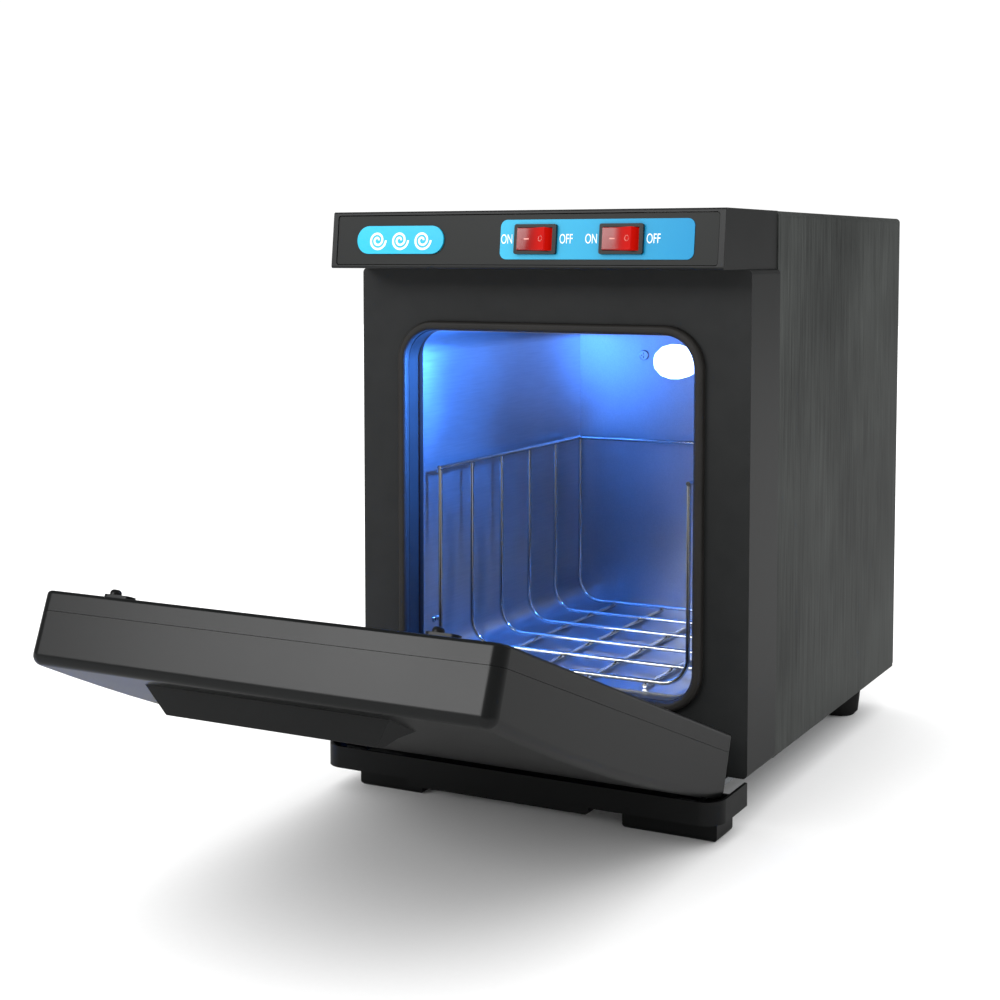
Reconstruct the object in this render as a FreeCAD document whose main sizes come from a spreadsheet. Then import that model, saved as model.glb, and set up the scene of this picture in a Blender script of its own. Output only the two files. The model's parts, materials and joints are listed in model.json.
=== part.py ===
"""Parametric model of a compact hot towel cabinet with a drop-down door.

The frame is X to the right, Y to the back and Z up, in millimetres. The sub-parts are built
about a point on the table plane under the middle of the cabinet body. The door and everything
on it is modelled shut, and its Placement then swings it down about the hinge to the open rest
position. Last, the whole is moved along Y so that the origin lies under the middle of the
cabinet with its door down.
"""
import FreeCAD, Part
import math
import operator
import os
import Sketcher
from FreeCAD import Placement, Rotation, Vector

doc = FreeCAD.newDocument("HotTowelCabinet")

# ---------------------------------------------------------------- driving dimensions

SIZES = [
    ("half_depth", 132.0, "from the origin to the face frame, and to the rear panel"),
    ("top_z", 297.1, "top of the cabinet"),
    ("base_z", 24.0, "underside of the cabinet, above the table"),
    ("frame_half", 107.95, "half width of the face frame"),
    ("frame_depth", 41.0, "depth of the face frame"),
    ("frame_top", 268.7, "top of the face frame, under the hood"),
    ("shell_half", 106.75, "half width of the sheet metal wrap"),
    ("sheet", 0.8, "thickness of the wrap"),
    ("rear_plate", 1.0, "thickness of the rear panel"),
    ("moulded", 2.5, "wall of the face frame"),
    ("hood_half", 106.1, "half width of the control hood"),
    ("hood_reach_top", 30.2, "reach of the hood ahead of the face, at its top"),
    ("hood_reach_low", 33.4, "reach of the hood ahead of the face, at its bottom"),
    ("panel_half", 103.0, "half width of the control panel"),
    ("panel_half_height", 12.2, "half height of the control panel"),
    ("panel_plate", 2.5, "thickness of the control panel"),
    ("chamber_half", 77.45, "half of the 154.9 inside width"),
    ("chamber_low", 58.1, "chamber floor"),
    ("chamber_height", 177.8, "inside height of the chamber"),
    ("chamber_deep", 194.0, "inside depth of the chamber"),
    ("chamber_sheet", 0.8, "thickness of the chamber liner"),
    ("rim_back", 10.0, "the chamber's rim lies this far behind the face"),
    ("mouth_half", 80.0, "half width of the opening in the face frame"),
    ("mouth_low", 57.4, "lower edge of the opening"),
    ("mouth_high", 236.6, "upper edge of the opening"),
    ("mouth_radius", 16.0, "corner radius of the opening"),
    ("gasket_wide", 4.8, "width of the gasket strip"),
    ("gasket_proud", 4.3, "height of the gasket over the face"),
    ("door_half", 106.7, "half width of the door"),
    ("door_low", 17.2, "lower end of the shut door"),
    ("door_high", 267.0, "upper end of the shut door"),
    ("door_gap", 4.8, "gap between the face and the shut door"),
    ("door_thick", 30.0, "thickness of the door at its ends"),
    ("door_bow", 4.6, "how far the outer face bows out in the middle"),
    ("liner_thick", 8.5, "thickness of the door's inner panel"),
    ("door_corner", 5.5, "corner radius of the door seen from the front"),
    ("hinge_y", -164.8, "hinge axis"),
    ("hinge_z", 26.0, "hinge axis"),
    ("hinge_x", 92.0, "centre of each hinge, from the middle"),
    ("door_open", 68.7, "opening angle in degrees"),
    ("pin_radius", 1.75, "hinge pin"),
    ("eye_radius", 4.0, "eye of the hinge bracket"),
    ("tray_half", 108.8, "half width of the drip tray"),
    ("tray_front", 41.0, "reach of the tray ahead of the face"),
    ("tray_back", 2.0, "gap between the tray and the face"),
    ("tray_high", 23.2, "rim of the tray"),
    ("tray_low", 12.0, "underside of the tray's sides"),
    ("tray_middle_low", 8.6, "underside of the tray's deeper middle"),
    ("tray_wall", 1.5, "wall of the tray"),
    ("foot_front_x", 70.0, "front feet, from the middle"),
    ("foot_rear_x", 83.0, "rear feet, from the middle"),
    ("foot_front_y", -98.0, "front feet"),
    ("foot_rear_y", 98.0, "rear feet"),
    ("foot_radius", 13.0, "top radius of a foot"),
    ("wire", 1.15, "radius of the rack's wire"),
    ("rack_half", 70.6, "half width of the rack, on the wire's centre"),
    ("rack_low", 61.9, "lowest run of the rack's hoops, on the wire's centre"),
    ("rack_high", 163.0, "top rails of the rack"),
    ("rack_front", -116.0, "front hoop of the rack"),
    ("rack_back", 58.0, "rear hoop of the rack"),
    ("switch_pitch", 45.0, "distance between the two switches"),
    ("switch_x", 10.2, "centre of the left switch"),
]

sheet = doc.addObject("Spreadsheet::Sheet", "Sizes")
for row, (alias, number, meaning) in enumerate(SIZES, 1):
    sheet.set(f"A{row}", meaning)
    sheet.set(f"B{row}", str(number))
    sheet.setAlias(f"B{row}", alias)
doc.recompute()

OPERATORS = {"+": operator.add, "-": operator.sub, "*": operator.mul, "/": operator.truediv}


class Dim:
    """A size known as a number and as an expression over the sheet's cells."""

    def __init__(self, number, text):
        self.number = number
        self.text = text

    def __add__(self, other):
        return joined(self, "+", other)

    def __radd__(self, other):
        return joined(other, "+", self)

    def __sub__(self, other):
        return joined(self, "-", other)

    def __rsub__(self, other):
        return joined(other, "-", self)

    def __mul__(self, other):
        return joined(self, "*", other)

    def __rmul__(self, other):
        return joined(other, "*", self)

    def __truediv__(self, other):
        return joined(self, "/", other)

    def __neg__(self):
        return joined(0, "-", self)

    def __float__(self):
        return self.number


def as_dim(value):
    """A Dim as it is, or a plain number as a Dim."""
    return value if isinstance(value, Dim) else Dim(float(value), f"({value})")


def joined(left, sign, right):
    """Two sizes joined by one of the four signs."""
    left, right = as_dim(left), as_dim(right)
    number = OPERATORS[sign](left.number, right.number)
    return Dim(number, f"({left.text} {sign} {right.text})")


def size(alias):
    """The driving dimension of that name."""
    return Dim(float(sheet.get(alias)), f"Sizes.{alias}")


def bind(obj, path, value):
    """Bind a property to a size."""
    obj.setExpression(path, as_dim(value).text)


# ---------------------------------------------------------------- building blocks

parts = {}


def keep(obj, label):
    """Register a finished sub-part under its node name."""
    obj.Label = label
    parts[label] = obj
    return obj


def place(obj, x, y, z):
    """Bind a primitive's position."""
    for axis, value in zip("xyz", (x, y, z)):
        bind(obj, f"Placement.Base.{axis}", value)
    return obj


def box(x_span, y_span, z_span):
    """A block between two planes on each axis."""
    obj = doc.addObject("Part::Box", "Block")
    for prop, (low, high) in zip(("Length", "Width", "Height"), (x_span, y_span, z_span)):
        bind(obj, prop, as_dim(high) - low)
    return place(obj, x_span[0], y_span[0], z_span[0])


TURNS = {
    "x": Rotation(Vector(0, 1, 0), 90),
    "y": Rotation(Vector(1, 0, 0), -90),
    "z": Rotation(),
}


def rod(axis, radius, start, length):
    """A cylinder from a start point along +X, +Y or +Z."""
    obj = doc.addObject("Part::Cylinder", "Rod")
    bind(obj, "Radius", radius)
    bind(obj, "Height", length)
    obj.Placement = Placement(Vector(), TURNS[axis])
    return place(obj, *start)


def fuse(*shapes):
    """The union of several objects."""
    obj = doc.addObject("Part::MultiFuse", "Union")
    obj.Shapes = list(shapes)
    obj.Refine = True
    return obj


def cut(base, *tools):
    """An object less one or more others."""
    obj = doc.addObject("Part::Cut", "Difference")
    obj.Base = base
    obj.Tool = tools[0] if len(tools) == 1 else fuse(*tools)
    obj.Refine = True
    return obj


def group(*shapes):
    """Separate solids that share one node."""
    obj = doc.addObject("Part::Compound", "Group")
    obj.Links = list(shapes)
    return obj


def is_along(edge, axis):
    """True for a straight edge along one axis."""
    if not isinstance(edge.Curve, Part.Line):
        return False
    direction = edge.Curve.Direction
    return abs(direction[axis]) > 0.999


def round_edges(base, radius, chosen):
    """Round the edges of an object that a test picks out."""
    doc.recompute()
    obj = doc.addObject("Part::Fillet", "Rounded")
    obj.Base = base
    picked = [i for i, edge in enumerate(base.Shape.Edges, 1) if chosen(edge)]
    obj.Edges = [(i, float(radius), float(radius)) for i in picked]
    return obj


def rounded_block(x_span, y_span, z_span, axis, radius):
    """A block whose four edges along one axis are rounded."""
    return round_edges(box(x_span, y_span, z_span), radius, lambda e: is_along(e, axis))


def new_body(label):
    """An empty PartDesign body for one sub-part."""
    return keep(doc.addObject("PartDesign::Body", label), label)


def new_sketch(body, plane, level=0.0):
    """A sketch on one of the body's own planes, moved along its normal."""
    sketch = body.newObject("Sketcher::SketchObject", "Outline")
    origin = next(f for f in body.Origin.OriginFeatures if f.Role == f"{plane}_Plane")
    sketch.AttachmentSupport = [(origin, "")]
    sketch.MapMode = "FlatFace"
    bind(sketch, "AttachmentOffset.Base.z", level)
    return sketch


def fix_point(sketch, geo, end, x, y):
    """Hold one end of a curve at a point given from the sketch's origin."""
    for kind, value in (("DistanceX", x), ("DistanceY", y)):
        index = sketch.addConstraint(Sketcher.Constraint(kind, -1, 1, geo, end, float(value)))
        bind(sketch, f"Constraints[{index}]", value)


def draw_polygon(sketch, points):
    """A closed outline of straight lines; several may share one sketch."""
    count = len(points)
    first = sketch.GeometryCount
    spots = [Vector(float(x), float(y), 0) for x, y in points]
    for i in range(count):
        sketch.addGeometry(Part.LineSegment(spots[i], spots[(i + 1) % count]), False)
    for i in range(count):
        following = first + (i + 1) % count
        sketch.addConstraint(Sketcher.Constraint("Coincident", first + i, 2, following, 1))
    for i, (x, y) in enumerate(points):
        fix_point(sketch, first + i, 1, x, y)


def draw_rectangle(sketch, x_span, y_span):
    """A rectangle between two limits on each sketch axis."""
    (left, right), (low, high) = x_span, y_span
    draw_polygon(sketch, [(left, low), (right, low), (right, high), (left, high)])


def draw_rounded(sketch, x_span, y_span, radius):
    """A rectangle with rounded corners; several may share one sketch."""
    (left, right), (low, high) = x_span, y_span
    a, b, c, d, r = (float(v) for v in (left, right, low, high, radius))
    first = sketch.GeometryCount
    sides = [((a + r, c), (b - r, c)), ((b, c + r), (b, d - r)),
             ((b - r, d), (a + r, d)), ((a, d - r), (a, c + r))]
    for start, end in sides:
        line = Part.LineSegment(Vector(*start, 0), Vector(*end, 0))
        sketch.addGeometry(line, False)
    centres = [(b - r, c + r), (b - r, d - r), (a + r, d - r), (a + r, c + r)]
    for quarter, centre in enumerate(centres):
        circle = Part.Circle(Vector(*centre, 0), Vector(0, 0, 1), r)
        start = (quarter - 1) * math.pi / 2
        sketch.addGeometry(Part.ArcOfCircle(circle, start, start + math.pi / 2), False)
    for i in range(4):
        arc = first + 4 + i
        sketch.addConstraint(Sketcher.Constraint("Tangent", first + i, 2, arc, 1))
        sketch.addConstraint(Sketcher.Constraint("Tangent", arc, 2, first + (i + 1) % 4, 1))
        sketch.addConstraint(Sketcher.Constraint("Horizontal" if i % 2 == 0 else "Vertical",
                                                 first + i))
        if i:
            sketch.addConstraint(Sketcher.Constraint("Equal", first + 4, arc))
    limits = [("Radius", (first + 4, r), radius),
              ("DistanceX", (-1, 1, first + 1, 1, b), right),
              ("DistanceX", (-1, 1, first + 3, 1, a), left),
              ("DistanceY", (-1, 1, first, 1, c), low),
              ("DistanceY", (-1, 1, first + 2, 1, d), high)]
    for kind, arguments, value in limits:
        index = sketch.addConstraint(Sketcher.Constraint(kind, *arguments))
        bind(sketch, f"Constraints[{index}]", value)


def draw_circle(sketch, x, y, radius):
    """A circle with a bound centre and radius."""
    circle = Part.Circle(Vector(float(x), float(y), 0), Vector(0, 0, 1), float(radius))
    geo = sketch.addGeometry(circle, False)
    fix_point(sketch, geo, 3, x, y)
    index = sketch.addConstraint(Sketcher.Constraint("Radius", geo, float(radius)))
    bind(sketch, f"Constraints[{index}]", radius)


def pad(body, sketch, length, midplane=False):
    """Extrude a sketch along its normal, or half to each side."""
    feature = body.newObject("PartDesign::Pad", "Pad")
    feature.Profile = sketch
    bind(feature, "Length", length)
    if midplane:
        feature.SideType = "Symmetric"
    return feature


def pocket(body, sketch, length):
    """Cut a sketch out of the body along its normal, and check that it removed something."""
    before = solid_volume(body)
    feature = body.newObject("PartDesign::Pocket", "Pocket")
    feature.Profile = sketch
    feature.Reversed = True
    bind(feature, "Length", length)
    assert solid_volume(body) < before - 0.01, f"{body.Label}: a pocket cut nothing"
    return feature


def solid_volume(body):
    """The volume of a body after a recompute."""
    doc.recompute()
    return body.Shape.Volume


def fillet(body, radius, chosen):
    """Round the edges of a body that a test picks out."""
    doc.recompute()
    base = body.Tip
    names = [f"Edge{i}" for i, edge in enumerate(base.Shape.Edges, 1) if chosen(edge)]
    feature = body.newObject("PartDesign::Fillet", "Fillet")
    feature.Base = (base, names)
    bind(feature, "Radius", radius)
    return feature


def revolve(body, plane, points):
    """Turn an outline about the upright axis of a sketch plane."""
    sketch = new_sketch(body, plane)
    draw_polygon(sketch, points)
    feature = body.newObject("PartDesign::Revolution", "Revolution")
    feature.Profile = sketch
    feature.ReferenceAxis = (sketch, ["V_Axis"])
    feature.Angle = 360
    return feature


def swing_open(obj):
    """Swing a piece of the shut door down about the hinge axis."""
    centre = Vector(0, float(size("hinge_y")), float(size("hinge_z")))
    turn = Rotation(Vector(1, 0, 0), float(size("door_open")))
    obj.Placement = Placement(Vector(), turn, centre).multiply(obj.Placement)
    return obj


front = -size("half_depth")
rear = size("half_depth")
frame_back = front + size("frame_depth")
base_z = size("base_z")
top_z = size("top_z")


def screw(x, y, z, axis, facing, head=(3.0, 1.8), shank=(1.4, 7.0)):
    """A pan-head screw with a cross recess; facing is +1 or -1 along the axis, out of the head."""
    head_radius, head_height = head
    shank_radius, length = shank
    blade, depth = 0.7, 0.9
    body = fuse(rod("z", head_radius, (0, 0, 0), head_height),
                rod("z", shank_radius, (0, 0, -length), length + 0.2))
    reach = head_radius * 0.55
    slots = [box((-reach, reach), (-blade / 2, blade / 2), (head_height - depth, head_height + 1)),
             box((-blade / 2, blade / 2), (-reach, reach), (head_height - depth, head_height + 1))]
    obj = cut(round_edges(body, head_height * 0.45, lambda e: is_ring(e, head_radius, head_height)),
              *slots)
    way = {"x": Vector(facing, 0, 0), "y": Vector(0, facing, 0), "z": Vector(0, 0, facing)}[axis]
    obj.Placement = Placement(Vector(float(x), float(y), float(z)), Rotation(Vector(0, 0, 1), way))
    return obj


def is_ring(edge, radius, height):
    """True for the circle of that radius at that height."""
    return (isinstance(edge.Curve, Part.Circle) and abs(edge.Curve.Radius - radius) < 1e-6
            and abs(edge.Curve.Center.z - height) < 1e-6)


# ---------------------------------------------------------------- cabinet casing

def make_face_frame():
    """Glossy moulding around the chamber's mouth, with a collar behind it."""
    half, top = size("frame_half"), size("frame_top")
    wall, depth = size("moulded"), size("frame_depth")
    body = new_body("face_frame")
    outline = new_sketch(body, "XZ", -frame_back)
    draw_rectangle(outline, (-half, half), (base_z, top))
    pad(body, outline, depth)
    fillet(body, 2.5, lambda e: is_along(e, 1))
    hollow = new_sketch(body, "XZ", -frame_back)
    draw_rounded(hollow, (wall - half, half - wall), (base_z + wall, top - wall), 1.5)
    pocket(body, hollow, depth - wall)
    collar_out = size("moulded")
    mouth = size("mouth_half"), size("mouth_low"), size("mouth_high"), size("mouth_radius")
    collar = new_sketch(body, "XZ", -(front + size("rim_back")))
    draw_rounded(collar, (-mouth[0] - collar_out, mouth[0] + collar_out),
                 (mouth[1] - collar_out, mouth[2] + collar_out), mouth[3] + collar_out)
    pad(body, collar, size("rim_back") - wall)
    opening = new_sketch(body, "XZ", -(front + size("rim_back") + 1))
    draw_rounded(opening, (-mouth[0], mouth[0]), (mouth[1], mouth[2]), mouth[3])
    pocket(body, opening, size("rim_back") + 2)
    drilled = new_sketch(body, "XY", base_z - 1)
    for x, y in foot_spots()[:2]:
        draw_circle(drilled, x, y, FOOT_HOLE)
    pocket(body, drilled, wall + 2)


FOOT_HOLE = 1.7
CATCH_X = 75.5
CATCH_Z = 256.0


def make_gasket():
    """Silicone door seal: a bulb strip standing on the face around the mouth."""
    wide = size("gasket_wide")
    half, low, high = size("mouth_half") + 0.2, size("mouth_low") - 0.2, size("mouth_high") + 0.2
    radius = size("mouth_radius")
    body = new_body("door_gasket")
    strip = new_sketch(body, "XZ", -front)
    draw_rounded(strip, (-half - wide, half + wide), (low - wide, high + wide), radius + wide)
    draw_rounded(strip, (-half, half), (low, high), radius)
    pad(body, strip, size("gasket_proud"))
    fillet(body, 1.9, lambda e: e.CenterOfMass.y < float(front) - 4)


def make_wrap():
    """Sheet metal cover: one sheet folded over the top and both sides, with a rear flange."""
    half, sheet_t = size("shell_half"), size("sheet")
    back = rear - size("rear_plate")
    outer = round_edges(box((-half, half), (frame_back, back), (base_z, top_z)), 3.0,
                        lambda e: is_along(e, 1) and e.CenterOfMass.z > 290)
    inner = round_edges(box((sheet_t - half, half - sheet_t), (frame_back - 1, back - sheet_t),
                            (base_z - 5, top_z - sheet_t)), 2.2,
                        lambda e: is_along(e, 1) and e.CenterOfMass.z > 290)
    window = box((10 - half, half - 10), (back - 3, back + 1), (base_z - 5, top_z - 10))
    holes = [rod("y", 1.6, (x, back - 3, z), 5) for x, z in rear_screw_spots()]
    keep(cut(outer, inner, window, *holes), "outer_wrap")


def make_rear_panel():
    """Rear cover with louvre slots, a cable hole and screw holes."""
    half = size("shell_half")
    plate = rounded_block((-half, half), (rear - size("rear_plate"), rear), (base_z, top_z), 1, 2.5)
    holes = [rod("y", 1.7, (x, rear - 3, z), 6) for x, z in rear_screw_spots()]
    holes.append(rod("y", GLAND_RADIUS, (GLAND_X, rear - 3, GLAND_Z), 6))
    for row in range(6):
        z = 232 + 7.5 * row
        for side in (-1, 1):
            holes.append(rounded_block((side * 36 - 26, side * 36 + 26), (rear - 3, rear + 3),
                                       (z, z + 3), 1, 1.4))
    keep(cut(plate, *holes), "rear_panel")


GLAND_RADIUS = 5.5
GLAND_X = 70.0
GLAND_Z = 52.0


def rear_screw_spots():
    """Screw places around the edge of the rear panel."""
    edge = float(size("shell_half")) - 5
    low, high = float(base_z) + 8, float(top_z) - 5
    middle = (low + high) / 2
    return [(x, z) for z in (low, middle, high) for x in (-edge, edge)] + [(0.0, high)]


def make_base_plate():
    """Folded base sheet, with holes for the feet, brackets and rails."""
    half = size("shell_half") - size("sheet") - 0.1
    back = rear - size("rear_plate") - size("sheet") - 0.1
    plate = box((-half, half), (frame_back + 0.1, back), (base_z, base_z + 1.2))
    lips = [box((side * half - (1.2 if side > 0 else 0), side * half + (0 if side > 0 else 1.2)),
                (frame_back + 0.1, back), (base_z, base_z + 12)) for side in (-1, 1)]
    spots = foot_spots()[2:] + [(side * size("hinge_x"), frame_back + 11) for side in (-1, 1)]
    holes = [rod("z", FOOT_HOLE, (x, y, base_z - 2), 6) for x, y in spots]
    keep(cut(fuse(plate, *lips), *holes), "base_plate")


def foot_spots():
    """Places of the four feet."""
    return [(side * float(size(f"foot_{row}_x")), float(size(f"foot_{row}_y")))
            for row in ("front", "rear") for side in (-1, 1)]


def make_feet():
    """Four tapered rubber feet, each held by a screw sunk in it."""
    radius = size("foot_radius")
    names = ["foot_front_left", "foot_front_right", "foot_rear_left", "foot_rear_right"]
    for name, (x, y) in zip(names, foot_spots()):
        body = new_body(name)
        revolve(body, "XZ", [(4.0, 0), (radius - 3.6, 0), (radius - 1.4, 2.4), (radius, base_z - 9),
                             (radius, base_z), (1.6, base_z), (1.6, 7.0), (4.0, 7.0)])
        body.Placement = Placement(Vector(x, y, 0), Rotation())
    screws = []
    for x, y in foot_spots():
        item = screw(x, y, 6.9, "z", -1, head=(3.6, 2.2), shank=(1.5, 22.0))
        screws.append(item)
    keep(group(*screws), "foot_screws")


def make_hood():
    """Control hood across the top: a tube open to the front and into the cabinet."""
    half, low = size("hood_half"), size("frame_top")
    lean = [(frame_back, low), (front - size("hood_reach_low"), low),
            (front - size("hood_reach_top"), top_z), (frame_back, top_z)]
    body = new_body("control_hood")
    outline = new_sketch(body, "YZ")
    draw_polygon(outline, lean)
    pad(body, outline, half * 2, midplane=True)
    fillet(body, 1.2, lambda e: is_along(e, 0) and e.CenterOfMass.y < -150)
    bore = new_sketch(body, "XZ", -(frame_back + 1))
    draw_rounded(bore, (-size("panel_half") - 0.3, size("panel_half") + 0.3),
                 (low + 1.7, top_z - 1.7), 1.5)
    pocket(body, bore, size("frame_depth") + 40)


# ---------------------------------------------------------------- control panel

PANEL_TILT = math.degrees(math.atan2(33.4 - 30.2, 297.1 - 268.7))


def on_panel(obj, x=0.0):
    """Set a piece built about the panel's own middle onto the tilted front of the hood."""
    reach = (float(size("hood_reach_top")) + float(size("hood_reach_low"))) / 2
    height = (float(size("frame_top")) + float(top_z)) / 2
    base = Vector(x, float(front) - reach, height)
    obj.Placement = Placement(base, Rotation(Vector(1, 0, 0), -PANEL_TILT)).multiply(obj.Placement)
    return obj


PANEL_FACE = 0.5
LABEL_BACK = PANEL_FACE - 0.4
BADGE_X = -65.8
LABEL_X = 41.0
CUTOUT = (9.7, 6.7)
BEZEL = (11.2, 7.2)
ROCKER_BACK = 5.0


def switch_places():
    """Middles of the two switches along the panel."""
    left = float(size("switch_x"))
    return [left, left + float(size("switch_pitch"))]


def make_control_panel():
    """Front plate of the hood, with its blue label, badge and switch cut-outs."""
    half, tall, thick = size("panel_half"), size("panel_half_height"), size("panel_plate")
    plate = rounded_block((-half, half), (PANEL_FACE, PANEL_FACE + thick), (-tall, tall), 1, 1.2)
    wells = [box((x - CUTOUT[0], x + CUTOUT[0]), (-3, 9), (-CUTOUT[1], CUTOUT[1]))
             for x in switch_places()]
    keep(on_panel(cut(plate, *wells)), "control_panel")
    label = rounded_block((LABEL_X - 50.3, LABEL_X + 50.3), (LABEL_BACK, PANEL_FACE), (-9.6, 9.6), 1, 3.5)
    more = [box((x - CUTOUT[0], x + CUTOUT[0]), (-3, 9), (-CUTOUT[1], CUTOUT[1]))
            for x in switch_places()]
    keep(on_panel(cut(label, *more)), "switch_label")
    badge = rounded_block((BADGE_X - 25, BADGE_X + 25), (-0.6, PANEL_FACE), (-7, 7), 1, 6.95)
    keep(on_panel(badge), "name_badge")


def make_switch(number, x):
    """One illuminated rocker switch: body with bezel, rocker on two stub axles, three blades."""
    wide, tall = BEZEL
    shell = fuse(rounded_block((-wide, wide), (LABEL_BACK - 1.8, LABEL_BACK), (-tall, tall), 1, 1.0),
                 box((-9.5, 9.5), (LABEL_BACK - 0.2, 17), (-6.5, 6.5)))
    well = box((-9.2, 9.2), (-5, 15), (-5.6, 5.6))
    axle_hole = rod("z", 1.55, (0, ROCKER_BACK, -6.4), 12.8)
    blades = [box((s - 2.45, s + 2.45), (14, 20), (-0.45, 0.45)) for s in (-6, 0, 6)]
    body = cut(shell, well, axle_hole, *blades)
    keep(on_panel(body, x), f"switch_body_{number}")
    rocker = new_body(f"rocker_{number}")
    outline = new_sketch(rocker, "XY")
    draw_polygon(outline, [(-7.9, -3.9), (0, -2.4), (7.9, -3.9), (8.4, 2.5), (5.2, 8.0),
                           (-5.2, 8.0), (-8.4, 2.5)])
    pad(rocker, outline, 10.8, midplane=True)
    fillet(rocker, 0.4, lambda e: e.CenterOfMass.y < -1.5 and not is_along(e, 2))
    axle = new_sketch(rocker, "XY")
    draw_circle(axle, 0, ROCKER_BACK, 1.5)
    pad(rocker, axle, 12.6, midplane=True)
    press = Rotation(Vector(0, 0, 1), ROCKER_TILT)
    rocker.Placement = Placement(Vector(), press, Vector(0, ROCKER_BACK, 0))
    on_panel(rocker, x)
    blades = [box((s - 2.4, s + 2.4), (13.4, 23), (-0.4, 0.4)) for s in (-6, 0, 6)]
    return on_panel(group(*blades), x)


ROCKER_TILT = -9.0


# ---------------------------------------------------------------- chamber and its services

def chamber_box(grow, start, end):
    """Limits of a box that stands clear of the chamber's inside by `grow`, between two depths."""
    half = size("chamber_half") + grow
    low = size("chamber_low") - grow
    high = size("chamber_low") + size("chamber_height") + grow
    return (-half, half), (start, end), (low, high)


def make_chamber():
    """Deep metal liner with rounded corners and a flange round its mouth."""
    rim = front + size("rim_back")
    back = rim + size("chamber_deep")
    thin = size("chamber_sheet")
    radius = 12.0
    outer = rounded_block(*chamber_box(thin, rim, back + thin), 1, radius + float(thin))
    flange = rounded_block(*chamber_box(9, rim, rim + thin), 1, radius + 9)
    inner = rounded_block(*chamber_box(0, rim - 1, back), 1, radius)
    lamp_hole = rod("x", 8.0, (size("chamber_half") - 3, LAMP_Y, LAMP_Z), 6)
    holes = [rod("y", 1.05, (x, back - 2, RIVET_Z), 4) for x in RIVET_X]
    holes += [rod("x", 0.75, (-size("chamber_half") - 3, y, STUD_Z), 6) for y in STUD_Y]
    liner = cut(fuse(outer, flange), inner, lamp_hole, *holes)
    keep(liner, "chamber_liner")


LAMP_Y = -86.0
LAMP_Z = 221.0
RIVET_X = (-34.0, 34.0)
RIVET_Z = 214.0
STUD_Y = (-112.0, -107.0)
STUD_Z = 80.0


def make_lamp():
    """Ultraviolet bulb and its holder, set in the chamber's right wall near the top."""
    bulb = new_body("uv_bulb")
    sketch = new_sketch(bulb, "XZ")
    draw_polygon(sketch, [(0, 0), (4.6, 0), (4.6, 7), (7.4, 12), (8.8, 17), (8.9, 21.5),
                          (7.6, 26), (4.6, 29.3), (1.8, 30.4), (0, 30.4)])
    turn = bulb.newObject("PartDesign::Revolution", "Revolution")
    turn.Profile = sketch
    turn.ReferenceAxis = (sketch, ["V_Axis"])
    turn.Angle = 360
    wall = float(size("chamber_half"))
    bulb.Placement = Placement(Vector(wall - 7.5, LAMP_Y, LAMP_Z), Rotation(Vector(0, 1, 0), -90))
    holder = cut(fuse(rod("x", 7.6, (wall - 8, LAMP_Y, LAMP_Z), 22),
                      rod("x", 11.0, (wall + 1.0, LAMP_Y, LAMP_Z), 2.5)),
                 rod("x", 5.0, (wall - 9, LAMP_Y, LAMP_Z), 10))
    keep(holder, "lamp_holder")


def make_services():
    """Heater, cut-outs, ballast, terminal block, insulation and the cable gland."""
    low = size("chamber_low") - size("chamber_sheet")
    heater = rounded_block((-60, 60), (-100, 40), (low - 2.0, low), 2, 6)
    keep(heater, "heater_mat")
    clamp = cut(fuse(box((-70, 70), (-34, -22), (low - 4.4, low - 2.0)),
                     box((-70, -62), (-34, -22), (low - 4.4, low)),
                     box((62, 70), (-34, -22), (low - 4.4, low))),
                box((-12, 12), (-40, -10), (low - 6, low - 3.2)))
    keep(clamp, "heater_clamp")
    back = front + size("rim_back") + size("chamber_deep") + size("chamber_sheet")
    stat = fuse(rod("y", 8.0, (-20, back, 120), 6.5), box((-32, -8), (back, back + 0.8), (115, 125)),
                box((-23.5, -22.5), (back + 6, back + 13), (117, 123)),
                box((-17.5, -16.5), (back + 6, back + 13), (117, 123)))
    keep(stat, "thermostat")
    fuse_body = fuse(rod("x", 2.0, (12, back + 2.0, 120), 11), rod("x", 0.5, (4, back + 2.0, 120), 27))
    keep(fuse_body, "thermal_fuse")
    keep(cut(rounded_block((-50, 10), (-70, -30), (262.0, 284.0), 2, 2),
             box((-47, 7), (-67, -33), (264.0, 282.0))), "lamp_ballast")
    shelf = fuse(box((-58, 26), (-76, -24), (260.4, 261.8)), box((-58, -52), (-76, -24), (250.0, 261.8)))
    keep(shelf, "ballast_bracket")
    block = box((-54, -18), (92, 108), (base_z + 1.2, base_z + 15))
    wells = [rod("z", 2.4, (x, 100, base_z + 6), 12) for x in (-48, -40, -32, -24)]
    keep(cut(block, *wells), "terminal_block")
    gland = cut(fuse(rod("y", GLAND_RADIUS - 0.1, (GLAND_X, rear - 6, GLAND_Z), 7),
                     rod("y", 8.0, (GLAND_X, rear, GLAND_Z), 3.0),
                     rod("y", 7.4, (GLAND_X, rear - 6, GLAND_Z), 4.8)),
                rod("y", 3.3, (GLAND_X, rear - 8, GLAND_Z), 14))
    keep(gland, "cable_gland")


def make_insulation():
    """Felt blanket on the chamber's sides, top and back, with clearance for the services."""
    rim = front + size("rim_back")
    back = rim + size("chamber_deep")
    outer = box(*chamber_box(9, rim + 3, back + 6))
    inner = rounded_block(*chamber_box(1.2, rim - 5, back + 1.2), 1, 13.2)
    floor = box((-200, 200), (rim - 5, back + 20), (0, size("chamber_low") + 4))
    windows = [rod("x", 13.0, (60, LAMP_Y, LAMP_Z), 60),
               box((-40, 40), (back - 5, back + 20), (104, 136))]
    keep(cut(outer, inner, floor, *windows), "insulation_blanket")


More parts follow.
